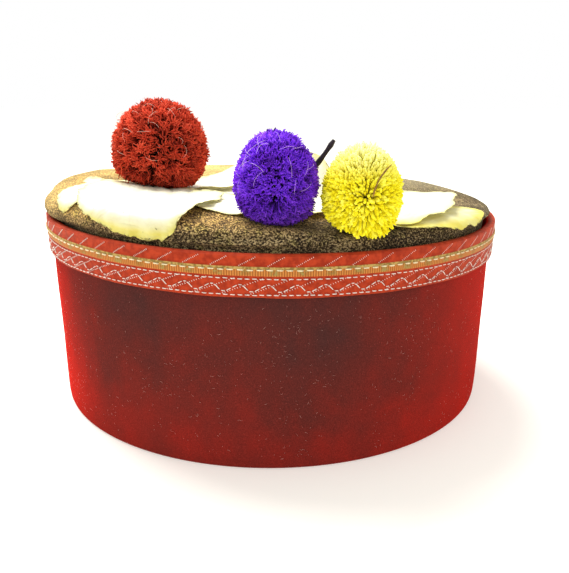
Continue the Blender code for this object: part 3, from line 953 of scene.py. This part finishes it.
def hairs(name, node, slot, colour, count, reach, ways, seed):
    """Long fine hairs that lie round a pompom. reach is half a hair's length as a share of the
    ball's half size. ways holds the lowest and highest direction."""
    chance = random.Random(seed)
    low, high = (Vector(corner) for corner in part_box(node))
    middle, half = (low + high) / 2, (high - low) / 2

    def spot(direction, over):
        direction = direction.normalized()
        return middle + Vector([d * h for d, h in zip(direction, half)]) * over

    paths = []
    for _ in range(count):
        way = Vector([chance.uniform(a, b) for a, b in zip(*ways)]).normalized()
        turn = way.cross(Vector([chance.uniform(-1, 1) for _ in range(3)])).normalized() * reach
        wide = chance.uniform(0.6, 1.2)
        bow = way.cross(turn) * chance.uniform(-0.5, 0.5)
        start, end = spot(way - turn * wide, 0.99), spot(way + turn * wide, 1.0)
        paths.append(strand(start, spot(way + bow, 1.13), end))
    widths = [[HAIR * k for k in (0.5, 0.9, 1, 1, 1, 1, 1, 0.9, 0.4)]] * count
    piece = tubes(name, paths, widths, 4)
    return dress(piece, thread(name.replace("_", " "), colour, 0.7), slot)


def loose_bits():
    """Long hairs on two pompoms, the dark stalk beside the purple one and the brown thread on the
    yellow one."""
    front = ((-0.9, -1.0, -0.2), (0.9, -0.3, 1.0))
    left = ((-1.0, -1.0, 0.2), (-0.3, -0.5, 0.9))
    purple = "pompom_purple", "purple_wool"
    hairs("hair_red", "pompom_red", "red_wool", (1.00, 0.60, 0.48), 20, 0.13, front, 21)
    hairs("hair_purple", *purple, (0.62, 0.36, 0.80), 12, 0.20, front, 22)
    hairs("hair_purple_left", *purple, (0.80, 0.55, 0.80), 9, 0.22, left, 23)

    low, high = (Vector(corner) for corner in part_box("pompom_purple"))
    foot = Vector((high.x, (low.y + high.y) / 2, (low.z + high.z) / 2)) + Vector((-0.003, 0.002, 0.001))
    path = strand(foot, foot + Vector((0.0035, 0, 0.004)), foot + Vector((0.0077, 0.0, 0.0105)))
    stalk = tubes("dark_stalk", [path], [STALK_WIDTHS], 8)
    dress(stalk, plain("dark stalk", (0.030, 0.022, 0.030), 0.7), "petal")

    low, high = (Vector(corner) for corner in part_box("pompom_yellow"))
    foot = Vector(((low.x + high.x) / 2, low.y, (low.z + high.z) / 2)) + Vector((0.002, 0.0006, -0.001))
    path = strand(foot, foot + Vector((0.001, 0.0002, 0.006)), foot + Vector((0.0058, 0.0024, 0.0098)))
    brown = tubes("brown_thread", [path], [BROWN_WIDTHS], 6)
    dress(brown, plain("brown thread", (0.300, 0.160, 0.040), 0.8), "yellow_wool")


def studio():
    """The pale floor, soft light from above and behind, and the photograph's camera."""
    bpy.ops.mesh.primitive_plane_add(size=8, location=(0, 0, 0))
    floor = bpy.context.object
    floor.name = "studio_floor"
    finish = Finish("floor")
    floor.data.materials.append(
        finish.done(
            finish.shade(
                Base_Color=FLOOR_COLOUR,
                Roughness=0.9,
                Specular_IOR_Level=0.1,
                Emission_Color=FLOOR_GLOW_COLOUR,
                Emission_Strength=FLOOR_GLOW,
            )
        )
    )
    floor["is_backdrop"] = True
    world = bpy.data.worlds.new("studio")
    world.use_nodes = True
    world.node_tree.nodes["Background"].inputs["Color"].default_value = (1, 1, 1, 1)
    world.node_tree.nodes["Background"].inputs["Strength"].default_value = 1.0
    bpy.context.scene.world = world
    bpy.ops.object.light_add(type="AREA", location=KEY_PLACE)
    key = bpy.context.object
    key.name = "soft_key"
    key.data.shape = "DISK"
    key.data.size = KEY_SIZE
    key.data.energy = KEY_WATTS
    key.rotation_euler = (Vector(KEY_AIM) - key.location).to_track_quat("-Z", "Y").to_euler()
    camera = bpy.data.cameras.new("camera")
    camera.sensor_width = 36
    camera.lens = FOCAL_PIXELS / max(PHOTO_SIZE) * camera.sensor_width
    camera.clip_start = 0.01
    viewer = bpy.data.objects.new("camera", camera)
    bpy.context.scene.collection.objects.link(viewer)
    viewer.location = CAMERA_PLACE
    tilt = Euler((math.radians(90 - CAMERA_PITCH), 0, 0)).to_matrix()
    roll = Euler((0, 0, math.radians(CAMERA_ROLL))).to_matrix()
    viewer.rotation_euler = (tilt @ roll).to_euler()
    bpy.context.scene.camera = viewer
    bpy.context.scene.view_settings.view_transform = "Standard"


# Each pompom's dark, middle and bright colour, its sheen and how dark its painted shade is deep inside.
# Then its painted light: the colour that it turns to, with the heights where that starts and ends,
# painted shade low on the purple one and a painted highlight high on the yellow one.
YARNS = {
    "pompom_red": (
        (0.260, 0.026, 0.014), (0.640, 0.060, 0.026), (0.860, 0.112, 0.052), (1, 0.4, 0.3), 0.4,
    ),
    "pompom_purple": (
        (0.060, 0.012, 0.220), (0.185, 0.026, 0.760), (0.340, 0.090, 1.000), (0.8, 0.4, 1), 0.4,
        ((0.060, 0.016, 0.190), 0.1000, 0.0780),
    ),
    "pompom_yellow": (
        (0.820, 0.690, 0.008), (0.960, 0.860, 0.018), (1.000, 0.950, 0.110), (1, 0.95, 0.4), 0.75,
        ((0.980, 1.000, 0.660), 0.1000, 0.1180),
    ),
}

studio()
crown = wool_crown()
band = velvet_wall()
ribbon_sheet()
ribbon_threads()
for row in POMPOMS:
    pompom(*row, yarn(row[0].replace("_", " ") + " wool", *YARNS[row[0]]))
petals(crown)
fibres(band, crown)
loose_bits()

boxes = {"cad": cad_box, "visual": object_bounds()}
{name: [list(corner) for corner in box] for name, box in boxes.items()}
